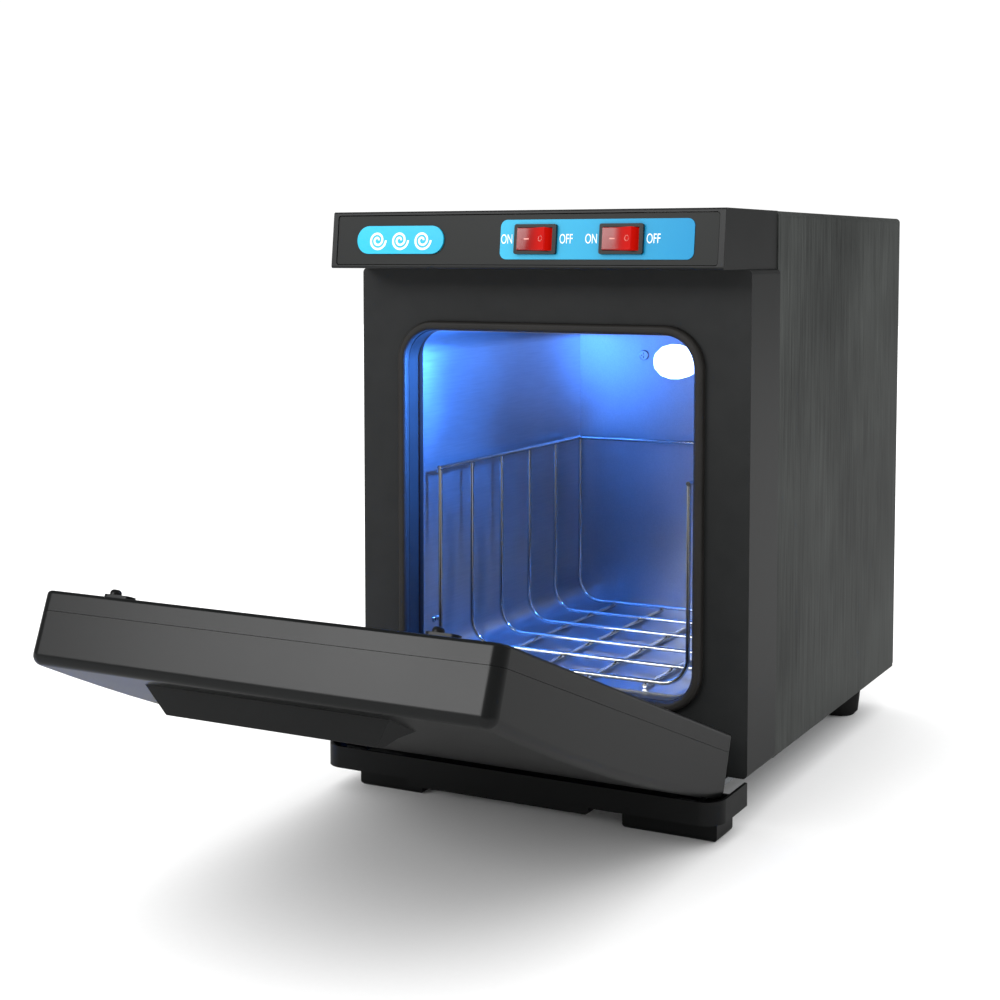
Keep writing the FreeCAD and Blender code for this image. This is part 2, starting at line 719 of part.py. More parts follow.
def wire_path(points, radius):
    """A wire of straight runs joined by tangent arcs, from points in order."""
    edges = []
    start = points[0]
    for before, corner, after in zip(points, points[1:], points[2:]):
        to_start, to_end = (before - corner).normalize(), (after - corner).normalize()
        half = to_start.getAngle(to_end) / 2
        trim = radius / math.tan(half)
        middle_way = (to_start + to_end).normalize()
        middle = corner + middle_way * (radius / math.sin(half) - radius)
        first, last = corner + to_start * trim, corner + to_end * trim
        edges.append(Part.LineSegment(start, first).toShape())
        edges.append(Part.Arc(first, middle, last).toShape())
        start = last
    edges.append(Part.LineSegment(start, points[-1]).toShape())
    return Part.Wire(edges)


def swept(points, bend, radius):
    """A round wire solid along a bent path."""
    path = wire_path(points, bend)
    first = path.Edges[0]
    tangent = first.tangentAt(first.FirstParameter)
    ring = Part.Wire(Part.makeCircle(radius, points[0], tangent))
    return path.makePipeShell([ring], True, True)


def make_rack():
    """Welded wire rack: six hoops, three top rails and four floor wires, each just touching."""
    wire, half = float(size("wire")), float(size("rack_half"))
    low, high = float(size("rack_low")), float(size("rack_high"))
    start, end = float(size("rack_front")), float(size("rack_back"))
    weld = wire + WELD_GAP
    long = end - start + 2 * wire
    hoops = []
    for i in range(HOOPS):
        y = start + (end - start) * i / (HOOPS - 1)
        corners = [Vector(-half, y, high - weld), Vector(-half, y, low), Vector(half, y, low),
                   Vector(half, y, high - weld)]
        hoops.append(swept(corners, HOOP_BEND, wire))
    rails = [Part.makeCylinder(wire, long, Vector(x, start - wire, high), Vector(0, 1, 0))
             for x in (-half, half)]
    rails.append(Part.makeCylinder(wire, 2 * (half - weld), Vector(weld - half, end, high),
                                   Vector(1, 0, 0)))
    floor = [Part.makeCylinder(wire, long, Vector(x, start - wire, low - wire - weld),
                               Vector(0, 1, 0)) for x in FLOOR_WIRES]
    for label, wires in (("rack_hoops", hoops), ("rack_rails", rails), ("rack_floor_wires", floor)):
        node = doc.addObject("Part::Feature", label)
        node.Shape = Part.makeCompound(wires)
        node.Placement = Placement()
        keep(node, label)


HOOPS = 6
HOOP_BEND = 14.0
FLOOR_WIRES = (-48.0, -16.0, 16.0, 48.0)
WELD_GAP = 0.02


# ---------------------------------------------------------------- door

PIN_REACH = 11.0


def make_door_cover():
    """Outer door shell: bowed face, rounded edges, hollow from the inside, two hinge notches."""
    half, low, high = size("door_half"), size("door_low"), size("door_high")
    parting = front - size("door_gap") - size("liner_thick")
    outer = front - size("door_gap") - size("door_thick")
    block = box((-half, half), (outer - size("door_bow"), parting), (low, high))
    crowned = doc.addObject("Part::Common", "Crowned")
    crowned.Base = block
    crowned.Tool = bow_cylinder()
    cornered = round_edges(crowned, size("door_corner"), lambda e: is_along(e, 1))
    shaped = round_edges(cornered, 4.5, lambda e: e.CenterOfMass.y < float(outer) + 2)
    hollow = rounded_block((2.2 - half, half - 2.2), (outer + 3.2, parting + 1),
                           (low + 14.5, high - 2.2), 1, 3.3)
    notches = [box((side * size("hinge_x") - 8, side * size("hinge_x") + 8),
                   (outer - 6, parting + 1), (low - 1, size("hinge_z") + 5)) for side in (-1, 1)]
    pins = [rod("x", size("pin_radius"), (side * size("hinge_x") - PIN_REACH, size("hinge_y"),
                                          size("hinge_z")), 2 * PIN_REACH) for side in (-1, 1)]
    keep(swing_open(cut(shaped, hollow, *notches, *pins, *handle_holes())), "door_cover")


def bow_cylinder():
    """The large cylinder that the door's outer face follows."""
    low, high, bow = size("door_low"), size("door_high"), size("door_bow")
    chord = (high - low) / 2
    radius = (chord * chord + bow * bow) / (2 * bow)
    outer = front - size("door_gap") - size("door_thick")
    return rod("x", radius, (-160, outer - bow + radius, (low + high) / 2), 320)


def make_door_liner():
    """Inner door panel: shallow tray with rounded edges that faces the gasket."""
    half, low, high = size("door_half"), size("door_low"), size("door_high")
    inner = front - size("door_gap")
    body = new_body("door_liner")
    outline = new_sketch(body, "XZ", -inner)
    draw_rectangle(outline, (-half, half), (low, high))
    pad(body, outline, size("liner_thick") - 0.15)
    fillet(body, size("door_corner"), lambda e: is_along(e, 1))
    fillet(body, 1.6, lambda e: e.CenterOfMass.y > float(inner) - 0.1)
    hollow = new_sketch(body, "XZ", -(inner - 2.4))
    draw_rounded(hollow, (2.4 - half, half - 2.4), (low + 14.5, high - 2.4), 3.1)
    pocket(body, hollow, 12)
    notches = new_sketch(body, "XZ", -(inner + 3))
    for side in (-1, 1):
        middle = side * size("hinge_x")
        draw_rectangle(notches, (middle - 8, middle + 8), (low - 5, size("hinge_z") + 5))
    pocket(body, notches, 20)
    swing_open(body)


def make_door_fill():
    """Foam sheet inside the door."""
    half, low, high = size("door_half"), size("door_low"), size("door_high")
    inner = front - size("door_gap")
    fill = rounded_block((4 - half, half - 4), (inner - 25, inner - 3), (low + 16, high - 4), 1, 3)
    keep(swing_open(fill), "door_insulation")


def make_handle():
    """Finger lip across the outer face below the top edge, its back cut to the bowed face."""
    outer = front - size("door_gap") - size("door_thick")
    high = size("door_high")
    body = doc.addObject("PartDesign::Body", "HandleBlank")
    side_view = new_sketch(body, "YZ")
    tip = outer - 11.3
    draw_polygon(side_view, [(outer + 2.0, high - 13.6), (outer - 0.7, high - 15.2), (tip, high - 23.0),
                             (tip + 0.4, high - 27.0), (tip + 5.0, high - 31.0),
                             (outer - 2.0, high - 39.0), (outer + 2.0, high - 40.0)])
    pad(body, side_view, 115, midplane=True)
    ends = new_sketch(body, "XY", high - 50)
    for side in (-1, 1):
        draw_polygon(ends, [(side * 47.0, tip - 3), (side * 57.2, outer - 0.7),
                            (side * 64.0, outer + 4), (side * 64.0, tip - 3)])
    pocket(body, ends, 60)
    fillet(body, 0.8, lambda e: is_along(e, 0) and e.CenterOfMass.y < float(tip) + 2)
    blank = cut(body, bow_cylinder())
    keep(swing_open(cut(blank, *handle_holes())), "door_handle")


def handle_holes():
    """Screw holes through the door's outer face into the handle."""
    outer = front - size("door_gap") - size("door_thick")
    return [rod("y", 1.2, (side * HANDLE_SCREW_X, outer - 7, size("door_high") - HANDLE_SCREW_DOWN), 11)
            for side in (-1, 1)]


HANDLE_SCREW_X = 30.0
HANDLE_SCREW_DOWN = 25.5


def make_catches():
    """Two steel studs on black seats at the door's inner face, and the magnets behind the frame."""
    inner = front - size("door_gap")
    seats, studs, magnets = [], [], []
    inside = front + size("moulded") + 0.1
    for side in (-1, 1):
        x = side * CATCH_X
        seats.append(cut(rounded_block((x - 7, x + 7), (inner, inner + SEAT_HIGH),
                                       (CATCH_Z - 3, CATCH_Z + 3), 1, 2.6),
                         rod("y", STUD_RADIUS + 0.02, (x - 2.5, inner - 1, CATCH_Z), 5)))
        pin = rod("y", STUD_RADIUS, (x - 2.5, inner, CATCH_Z), STUD_HIGH)
        studs.append(round_edges(pin, 1.6, lambda e: e.CenterOfMass.y > float(inner) + 4))
        magnets.append(rounded_block((x - 9, x + 9), (inside, inside + 5),
                                     (CATCH_Z - 5, CATCH_Z + 5), 1, 1.0))
    keep(swing_open(group(*seats)), "catch_seats")
    keep(swing_open(group(*studs)), "catch_studs")
    keep(group(*magnets), "catch_magnets")


SEAT_HIGH = 2.0
STUD_RADIUS = 2.4
STUD_HIGH = 4.4


def make_hinges():
    """Two brackets under the cabinet, each with an eye, and the pins through door and eyes."""
    y, z, reach = size("hinge_y"), size("hinge_z"), size("eye_radius")
    for name, side in (("hinge_bracket_left", -1), ("hinge_bracket_right", 1)):
        x = side * size("hinge_x")
        arm = box((x - 6, x + 6), (y, frame_back + 22), (base_z - 3.2, base_z - 0.2))
        foot = box((x - 6, x + 6), (frame_back + 0.2, frame_back + 22), (base_z - 1, base_z))
        eye = rod("x", reach, (x - 6, y, z), 12)
        web = box((x - 6, x + 6), (y - 1.2, y + 3.2), (base_z - 3.2, z))
        hole = rod("x", size("pin_radius") + 0.05, (x - 8, y, z), 16)
        screw_holes = [rod("z", 1.6, (x, frame_back + 11, base_z - 6), 10)]
        keep(cut(fuse(arm, foot, eye, web), hole, *screw_holes), name)
    pins = [rod("x", size("pin_radius") - 0.01, (side * size("hinge_x") - PIN_REACH, y, z),
                2 * PIN_REACH) for side in (-1, 1)]
    keep(swing_open(group(*pins)), "hinge_pins")


# ---------------------------------------------------------------- drip tray

TONGUE_X = 36.0


def make_tray():
    """Drip tray ahead of the face: rounded trough, deeper middle, two legs, two rear tongues."""
    half, ahead = size("tray_half"), front - size("tray_front")
    behind = front - size("tray_back")
    low, deep, high = size("tray_low"), size("tray_middle_low"), size("tray_high")
    wall = size("tray_wall")
    trough = round_edges(box((-half, half), (ahead, behind), (low, high)), 11.0,
                         lambda e: is_along(e, 2) and e.CenterOfMass.y < float(ahead) + 1)
    middle = round_edges(box((-57, 43), (ahead, behind - 9), (deep, low + 3)), 2.0,
                         lambda e: is_along(e, 1) and e.CenterOfMass.z < float(deep) + 0.1)
    cavity = round_edges(box((wall - half, half - wall), (ahead + wall, behind - wall),
                             (low + wall, high + 5)), 9.6,
                         lambda e: is_along(e, 2) and e.CenterOfMass.y < float(ahead + wall) + 1)
    deeper = box((wall - 57, 43 - wall), (ahead + wall, behind - 9 - wall), (deep + wall, low + 5))
    notch = box((wall - half, half - wall), (behind - wall - 1, behind + 1), (16.4, high + 5))
    legs = [round_edges(box((left, right), (ahead + 14, behind - 4), (0, low + 0.6)), 2.5,
                        lambda e: e.CenterOfMass.z < 1 and e.CenterOfMass.y < float(behind) - 5)
            for left, right in ((-94, -57), (54.5, 103))]
    tongues = [box((x - 6, x + 6), (behind - 2, frame_back + 12), (14.0, 16.2))
               for x in (-TONGUE_X, TONGUE_X)]
    keep(cut(fuse(trough, middle, *legs, *tongues), cavity, deeper, notch), "drip_tray")
    rails = [cut(box((x - 9, x + 9), (front + 3, frame_back + 14), (11.5, base_z)),
                 box((x - 6.3, x + 6.3), (front, frame_back + 20), (13.7, 16.5)),
                 box((x - 3.5, x + 3.5), (front, frame_back + 20), (16, base_z - 3)))
             for x in (-TONGUE_X, TONGUE_X)]
    keep(group(*rails), "tray_rails")


# ---------------------------------------------------------------- fasteners and small parts

def make_fasteners():
    """Screws and rivets, each kind in one node."""
    edge = [screw(x, float(rear), z, "y", 1, head=(3.2, 1.7), shank=(1.45, 6))
            for x, z in rear_screw_spots()]
    keep(group(*edge), "rear_screws")
    back = float(front + size("rim_back") + size("chamber_deep"))
    wall = float(size("chamber_half"))
    rivets = [screw(x, back, RIVET_Z, "y", -1, head=(3.2, 1.2), shank=(1.0, 1.1)) for x in RIVET_X]
    rivets += [screw(-wall, y, STUD_Z, "x", 1, head=(1.5, 1.3), shank=(0.7, 1.1)) for y in STUD_Y]
    keep(group(*rivets), "liner_rivets")
    bracket = [screw(side * float(size("hinge_x")), float(frame_back) + 11, float(base_z) - 3.2, "z", -1,
                     head=(2.8, 1.6), shank=(1.5, 7)) for side in (-1, 1)]
    keep(group(*bracket), "bracket_screws")
    outer = float(front - size("door_gap") - size("door_thick"))
    height = float(size("door_high")) - HANDLE_SCREW_DOWN
    handle = [screw(side * HANDLE_SCREW_X, outer + 3.25, height, "y", 1,
                    head=(2.6, 1.5), shank=(1.15, 9)) for side in (-1, 1)]
    for item in handle:
        swing_open(item)
    keep(group(*handle), "handle_screws")
    plate = rounded_block((-95, -45), (rear, rear + 0.4), (60, 90), 1, 2)
    keep(plate, "rating_plate")


make_face_frame()
make_gasket()
make_wrap()
make_rear_panel()
make_base_plate()
make_feet()
make_hood()
make_control_panel()
blades = [make_switch(number, x) for number, x in enumerate(switch_places(), 1)]
keep(group(*blades), "switch_terminals")
make_chamber()
make_lamp()
make_services()
make_insulation()
make_rack()
make_door_cover()
make_door_liner()
make_door_fill()
make_handle()
make_catches()
make_hinges()
make_tray()
make_fasteners()

# ---------------------------------------------------------------- checks and export

doc.recompute()
whole = Part.makeCompound([obj.Shape for obj in parts.values()]).optimalBoundingBox(False)
to_middle = Placement(Vector(0, -(whole.YMin + whole.YMax) / 2, 0), Rotation())
for obj in parts.values():
    obj.Placement = to_middle.multiply(obj.Placement)
print("moved to the middle by", round(to_middle.Base.y, 4))
doc.recompute()
for obj in doc.Objects:
    assert not {"Invalid", "Error"} & set(obj.State), f"{obj.Name} ({obj.Label}) failed: {obj.State}"
os.makedirs("parts", exist_ok=True)
for label, obj in parts.items():
    assert not obj.Shape.isNull() and obj.Shape.isValid(), f"{label} has no valid shape"
for label, obj in parts.items():
    obj.Shape.exportStep(f"parts/{label}.step")
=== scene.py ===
"""Looks of a compact hot towel cabinet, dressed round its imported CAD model.

Every length is in metres in the model's own frame: X to the right seen from the front, Y to the
back, Z up from the table. Each sub-assembly is a class that holds its sizes and dresses its own
pieces; the moulded shells are rebuilt from their CAD meshes with the small edge radii that catch
the light.
"""
import json
import logging
import math
from dataclasses import dataclass, field
from enum import Enum
from typing import ClassVar

import bmesh
import bpy
from mathutils import Matrix, Vector
from mathutils.bvhtree import BVHTree


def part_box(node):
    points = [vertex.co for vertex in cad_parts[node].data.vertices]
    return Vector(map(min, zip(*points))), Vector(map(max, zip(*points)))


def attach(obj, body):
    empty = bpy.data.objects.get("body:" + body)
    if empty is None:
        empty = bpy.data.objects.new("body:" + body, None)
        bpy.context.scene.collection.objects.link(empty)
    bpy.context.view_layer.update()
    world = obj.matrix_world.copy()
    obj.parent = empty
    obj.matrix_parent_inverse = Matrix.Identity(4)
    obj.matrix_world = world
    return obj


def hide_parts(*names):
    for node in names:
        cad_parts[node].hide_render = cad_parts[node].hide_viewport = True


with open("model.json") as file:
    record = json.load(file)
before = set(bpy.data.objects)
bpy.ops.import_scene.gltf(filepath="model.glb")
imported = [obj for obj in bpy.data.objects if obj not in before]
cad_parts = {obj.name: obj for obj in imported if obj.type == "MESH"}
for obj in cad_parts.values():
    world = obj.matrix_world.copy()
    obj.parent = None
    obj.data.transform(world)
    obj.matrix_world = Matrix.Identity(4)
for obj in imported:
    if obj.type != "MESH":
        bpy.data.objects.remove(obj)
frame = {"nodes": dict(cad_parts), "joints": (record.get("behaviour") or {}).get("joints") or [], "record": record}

MM = 0.001
SAME_PLACE = 0.001 * MM
FLAT_ANGLE = math.radians(0.03)
CRISP_ANGLE = math.radians(35)
ROUNDED_ANGLE = math.radians(40)
WHITE = (1.0, 1.0, 1.0, 1.0)
LOG = logging.getLogger("hot_towel_cabinet")


# ------------------------------------------------------------------------------------- finishes

def linear(hex_code: str) -> tuple[float, float, float, float]:
    """Turn an sRGB hex colour into the linear colour that a shader takes.

    Args:
        hex_code: Six hex digits with a leading hash.

    Returns:
        Red, green, blue and an alpha of one.
    """
    parts = [int(hex_code[i:i + 2], 16) / 255 for i in (1, 3, 5)]
    red, green, blue = (p / 12.92 if p <= 0.04045 else ((p + 0.055) / 1.055) ** 2.4 for p in parts)
    return red, green, blue, 1.0


def add_node(tree: bpy.types.NodeTree, kind: str, settings: dict | None = None,
             links: dict | None = None) -> bpy.types.Node:
    """Add a node to a tree, set it up and link its inputs.

    Args:
        tree: The tree that gets the node.
        kind: The node's type name.
        settings: Properties or input sockets, by name, with their values.
        links: Input sockets, by name or number, with the output sockets that feed them.

    Returns:
        The new node.
    """
    node = tree.nodes.new(kind)
    for name, value in (settings or {}).items():
        if isinstance(name, str) and hasattr(node, name):
            setattr(node, name, value)
        else:
            node.inputs[name].default_value = value
    for name, source in (links or {}).items():
        tree.links.new(source, node.inputs[name])
    return node


class Grain(Enum):
    """Which way a surface's pattern runs, as its stretch along X, Y and Z."""

    EVEN = (1.0, 1.0, 1.0)
    UPRIGHT = (1.0, 1.0, 0.03)
    CROSSWISE = (0.03, 1.0, 1.0)
    DEEPWISE = (1.0, 0.04, 1.0)


@dataclass(frozen=True)
class Finish:
    """A surface as it comes from its maker: what it is made of and how it was made."""

    name: str
    tint: str
    roughness: float = 0.5
    metallic: float = 0.0
    ior: float = 1.5
    specular: float = 0.5
    coat: float = 0.0
    shade: str = ""
    mottle_mm: float = 30.0
    grain_mm: float = 0.5
    relief_mm: float = 0.01
    polish: float = 0.05
    grain: Grain = Grain.EVEN
    coat_roughness: ClassVar[float] = 0.08
    shade_below: ClassVar[float] = 0.3
    tint_above: ClassVar[float] = 0.7

    def build(self) -> bpy.types.Material:
        """Make the material.

        Returns:
            A node material that takes the finish's name.
        """
        material = bpy.data.materials.new(self.name)
        material.use_nodes = True
        tree = material.node_tree
        tree.nodes.clear()
        shader = add_node(tree, "ShaderNodeBsdfPrincipled", {
            "Base Color": linear(self.tint), "Roughness": self.roughness, "Metallic": self.metallic,
            "IOR": self.ior, "Specular IOR Level": self.specular, "Coat Weight": self.coat,
            "Coat Roughness": self.coat_roughness})
        add_node(tree, "ShaderNodeOutputMaterial", links={"Surface": shader.outputs["BSDF"]})
        place = add_node(tree, "ShaderNodeTexCoord")
        stretch = add_node(tree, "ShaderNodeMapping", {"Scale": self.grain.value},
                           {"Vector": place.outputs["Object"]})
        self.pattern(tree, shader, place.outputs["Object"], stretch.outputs["Vector"])
        return material

    def pattern(self, tree: bpy.types.NodeTree, shader: bpy.types.Node,
                place: bpy.types.NodeSocket, stretched: bpy.types.NodeSocket) -> None:
        """Add the cloudy colour, the uneven polish and the fine relief of the surface.

        Args:
            tree: The material's tree.
            shader: The shader that the pattern feeds.
            place: Object coordinates.
            stretched: Object coordinates drawn out along the grain.
        """
        clouds = add_node(tree, "ShaderNodeTexNoise",
                          {"Scale": 1 / (self.mottle_mm * MM), "Detail": 3.0}, {"Vector": place})
        fine = self.add_relief(tree, shader, stretched)
        blend = add_node(tree, "ShaderNodeMix", {"data_type": "FLOAT", "Factor": 0.5},
                         {2: clouds.outputs["Fac"], 3: fine.outputs["Fac"]})
        ramp = add_node(tree, "ShaderNodeValToRGB", links={"Fac": blend.outputs[0]})
        low, high = ramp.color_ramp.elements
        low.position, low.color = self.shade_below, linear(self.shade or self.tint)
        high.position, high.color = self.tint_above, linear(self.tint)
        tree.links.new(ramp.outputs["Color"], shader.inputs["Base Color"])
        rough = add_node(tree, "ShaderNodeMapRange",
                         {"To Min": max(self.roughness - self.polish, 0.02),
                          "To Max": min(self.roughness + self.polish, 1.0)},
                         {"Value": blend.outputs[0]})
        tree.links.new(rough.outputs["Result"], shader.inputs["Roughness"])

    def add_relief(self, tree: bpy.types.NodeTree, shader: bpy.types.Node,
                   stretched: bpy.types.NodeSocket) -> bpy.types.Node:
        """Add the fine relief of the surface.

        Args:
            tree: The material's tree.
            shader: The shader that the relief feeds.
            stretched: Object coordinates drawn out along the grain.

        Returns:
            The noise that the relief is made from.
        """
        fine = add_node(tree, "ShaderNodeTexNoise",
                        {"Scale": 1 / (self.grain_mm * MM), "Detail": 2.0}, {"Vector": stretched})
        bump = add_node(tree, "ShaderNodeBump", {"Strength": 1.0, "Distance": self.relief_mm * MM},
                        {"Height": fine.outputs["Fac"]})
        tree.links.new(bump.outputs["Normal"], shader.inputs["Normal"])
        return fine


@dataclass(frozen=True)
class FadedFilm(Finish):
    """A coloured film whose colour fades evenly from one end to the other, under a clear gloss."""

    start_mm: float = -10.0
    end_mm: float = 92.0
    far_tint: str = "#1383b4"

    def pattern(self, tree: bpy.types.NodeTree, shader: bpy.types.Node,
                place: bpy.types.NodeSocket, stretched: bpy.types.NodeSocket) -> None:
        """Add the fade along X and the faint ripple of the film.

        Args:
            tree: The material's tree.
            shader: The shader that the pattern feeds.
            place: Object coordinates.
            stretched: Object coordinates drawn out along the grain.
        """
        axes = add_node(tree, "ShaderNodeSeparateXYZ", links={"Vector": place})
        along = add_node(tree, "ShaderNodeMapRange",
                         {"From Min": self.start_mm * MM, "From Max": self.end_mm * MM},
                         {"Value": axes.outputs["X"]})
        fade = add_node(tree, "ShaderNodeMix",
                        {"data_type": "RGBA", 6: linear(self.tint), 7: linear(self.far_tint)},
                        {"Factor": along.outputs["Result"]})
        tree.links.new(fade.outputs[2], shader.inputs["Base Color"])
        self.add_relief(tree, shader, stretched)


@dataclass(frozen=True)
class Glowing(Finish):
    """A surface that gives off light, whose glow may rise from one end to the other as a painted highlight."""

    glow: str = "#ffffff"
    power: float = 1.0
    highlight_dim_share: float = 1.0
    start_mm: float = 0.0
    end_mm: float = 1.0

    def pattern(self, tree: bpy.types.NodeTree, shader: bpy.types.Node,
                place: bpy.types.NodeSocket, stretched: bpy.types.NodeSocket) -> None:
        """Add the glow, and the fine frosting of the surface.

        Args:
            tree: The material's tree.
            shader: The shader that the pattern feeds.
            place: Object coordinates.
            stretched: Object coordinates drawn out along the grain.
        """
        shader.inputs["Emission Color"].default_value = linear(self.glow)
        shader.inputs["Emission Strength"].default_value = self.power
        # A fading glow rises along X from the start to the end; on the rockers this is a painted highlight.
        if self.highlight_dim_share < 1.0:
            axes = add_node(tree, "ShaderNodeSeparateXYZ", links={"Vector": place})
            along = add_node(tree, "ShaderNodeMapRange",
                             {"interpolation_type": "SMOOTHSTEP", "From Min": self.start_mm * MM,
                              "From Max": self.end_mm * MM, "To Min": self.highlight_dim_share * self.power,
                              "To Max": self.power}, {"Value": axes.outputs["X"]})
            tree.links.new(along.outputs["Result"], shader.inputs["Emission Strength"])
        self.add_relief(tree, shader, stretched)


FINISHES = [
    # Gloss ABS: black with soft, slightly wavy reflections from the mould.
    Finish("gloss_black_abs", "#252626", 0.38, specular=0.24, shade="#202121", mottle_mm=60,
           grain_mm=9.0, relief_mm=0.012, polish=0.03),
    # Semi-gloss ABS of the door shells: a broad grey sheen and a hint of mould texture.
    Finish("satin_black_abs", "#121313", 0.3, specular=0.28, shade="#0e0f0f", mottle_mm=45,
           grain_mm=0.7, relief_mm=0.006, polish=0.04),
    # Spark-textured ABS: darker, with a grainy highlight.
    Finish("textured_black_abs", "#121313", 0.36, specular=0.25, shade="#0b0c0c", mottle_mm=30,
           grain_mm=0.6, relief_mm=0.012, polish=0.06),
    # Charcoal ABS of the control panel, satin.
    Finish("satin_grey_abs", "#1e201f", 0.42, specular=0.24, shade="#1a1c1b", mottle_mm=40,
           grain_mm=0.6, relief_mm=0.006),
    # Silicone seal: brown-black and slightly dusty.
    Finish("silicone_seal", "#2a2826", 0.55, specular=0.3, shade="#201f1d", mottle_mm=15,
           grain_mm=0.8, relief_mm=0.02, polish=0.1),
    # Charcoal coating on steel with an upright grain. The real grain is finer than shows here, so
    # it is drawn 1.5 mm coarse.
    Finish("powder_coated_steel", "#484b49", 0.5, specular=0.22, shade="#181a19", mottle_mm=90,
           grain_mm=1.5, relief_mm=0.08, polish=0.12, grain=Grain.UPRIGHT),
    # Bright zinc plate: a cool, cloudy grey metal.
    Finish("zinc_plated_steel", "#b4b8bc", 0.32, 1.0, shade="#8f959b", mottle_mm=6, grain_mm=1.2,
           relief_mm=0.006, polish=0.1),
    # Cyan film of the switch label, glossy and fading to the right.
    FadedFilm("blue_label_film", "#35a8cc", 0.3, specular=0.15, grain_mm=6.0, relief_mm=0.01),
    # Cyan enamel of the badge: nearly one colour, and glossy.
    FadedFilm("blue_badge_enamel", "#1cb2d6", 0.2, specular=0.25, grain_mm=5.0, relief_mm=0.02,
                start_mm=-91.0, end_mm=-40.0, far_tint="#17a8cc"),
    # White screen print: opaque and flat.
    Finish("white_print", "#f2f6f8", 0.45, shade="#e4edf2", mottle_mm=2, grain_mm=0.3,
           relief_mm=0.004),
    # Moulded nylon of the switch bezels: slate black, satin.
    Finish("switch_nylon", "#101314", 0.36, specular=0.3, shade="#0b0d0e", mottle_mm=8,
           grain_mm=0.5, relief_mm=0.008),
    # Pale pink fill of the rocker marks.
    Finish("rocker_mark", "#f0a49a", 0.4, shade="#e08c82", mottle_mm=1, grain_mm=0.3,
           relief_mm=0.003),
    # Tinned brass blades: warm, slightly dull metal.
    Finish("tinned_brass", "#cbbd8f", 0.35, 1.0, shade="#b5a677", mottle_mm=3, grain_mm=0.8,
           relief_mm=0.006),
    # Bright rolled aluminium: long soft streaks along the rolling direction.
    Finish("polished_aluminium", "#c6cad0", 0.32, 1.0, shade="#b4b9c0", mottle_mm=50, grain_mm=0.7,
           relief_mm=0.002, polish=0.08, grain=Grain.DEEPWISE),
    # Frosted lamp glass, burning blue-white.
    Glowing("lamp_glass", "#dfe8ff", 0.3, grain_mm=0.8, relief_mm=0.01, glow="#a9c4ff", power=5.0),
    # Glazed ceramic: warm white with a clear gloss.
    Finish("white_ceramic", "#e6e2d6", 0.2, coat=0.5, shade="#dcd7c9", mottle_mm=6, grain_mm=1.0,
           relief_mm=0.01),
    # Silicone heater mat with its glass weave showing through.
    Finish("orange_silicone", "#c9622a", 0.6, shade="#a94c1c", mottle_mm=12, grain_mm=1.0,
           relief_mm=0.08),
    # Pressed phenolic: brown-black and dull.
    Finish("phenolic", "#241c17", 0.5, shade="#1a1410", mottle_mm=5, grain_mm=0.6, relief_mm=0.02),
    # Glass-fibre felt: pale, fuzzy and uneven.
    Finish("glass_felt", "#cfcabb", 0.95, specular=0.2, shade="#aaa491", mottle_mm=9, grain_mm=1.1,
           relief_mm=0.6, polish=0.04),
    # Chromed wire: bright with sharp reflections.
    Finish("chrome_wire", "#d8d7d3", 0.12, 1.0, shade="#c9c8c4", mottle_mm=10, grain_mm=1.0,
           relief_mm=0.004, polish=0.04),
    # Closed-cell foam: white with fine pores.
    Finish("foam_sheet", "#dcdcd8", 0.85, specular=0.2, shade="#c4c4be", mottle_mm=6, grain_mm=0.9,
           relief_mm=0.15),
    # Nickel-plated steel of screws, pins and rivets.
    Finish("bright_steel", "#c2c2c0", 0.25, 1.0, shade="#a6a6a4", mottle_mm=3, grain_mm=0.5,
           relief_mm=0.006),
    # Black oxide screws.
    Finish("black_screw", "#262626", 0.38, 0.6, shade="#161616", mottle_mm=2, grain_mm=0.4,
           relief_mm=0.01),
    # Blank foil plate, brushed along X.
    Finish("plate_foil", "#a9adb0", 0.35, 1.0, shade="#8c9093", mottle_mm=20, grain_mm=0.4,
           relief_mm=0.01, grain=Grain.CROSSWISE),
    # Sintered ferrite: dull grey-black and finely pitted.
    Finish("ferrite", "#2c2c2f", 0.6, shade="#222224", mottle_mm=3, grain_mm=0.4, relief_mm=0.01),
    # Moulded rubber: very dark, dull, faintly pitted.
    Finish("rubber", "#161616", 0.75, specular=0.35, shade="#0e0e0e", mottle_mm=8, grain_mm=0.5,
           relief_mm=0.04),
]


# ------------------------------------------------------------------------------ modelling helpers

def new_piece(name: str, shape: bmesh.types.BMesh,
              material: bpy.types.Material) -> bpy.types.Object:
    """Turn a finished bmesh into an object at the origin.

    Args:
        name: Name of the new object.
        shape: The bmesh, which is freed.
        material: The finish of the whole piece.

    Returns:
        The linked object.
    """
    mesh = bpy.data.meshes.new(name)
    shape.to_mesh(mesh)
    shape.free()
    mesh.shade_smooth()
    mesh.set_sharp_from_angle(angle=CRISP_ANGLE)
    mesh.materials.append(material)
    piece = bpy.data.objects.new(name, mesh)
    bpy.context.scene.collection.objects.link(piece)
    flat = piece.modifiers.new("flat_faces", "WEIGHTED_NORMAL")
    flat.keep_sharp = True
    flat.weight = 100
    return piece


def merged_copy(node: str) -> bmesh.types.BMesh:
    """Copy a CAD node as one closed mesh with flat areas joined up.

    Args:
        node: Name of the CAD node.

    Returns:
        The merged bmesh.
    """
    shape = bmesh.new()
    shape.from_mesh(frame["nodes"][node].data)
    bmesh.ops.remove_doubles(shape, verts=shape.verts, dist=SAME_PLACE)
    bmesh.ops.dissolve_limit(shape, angle_limit=FLAT_ANGLE, verts=shape.verts, edges=shape.edges)
    return shape


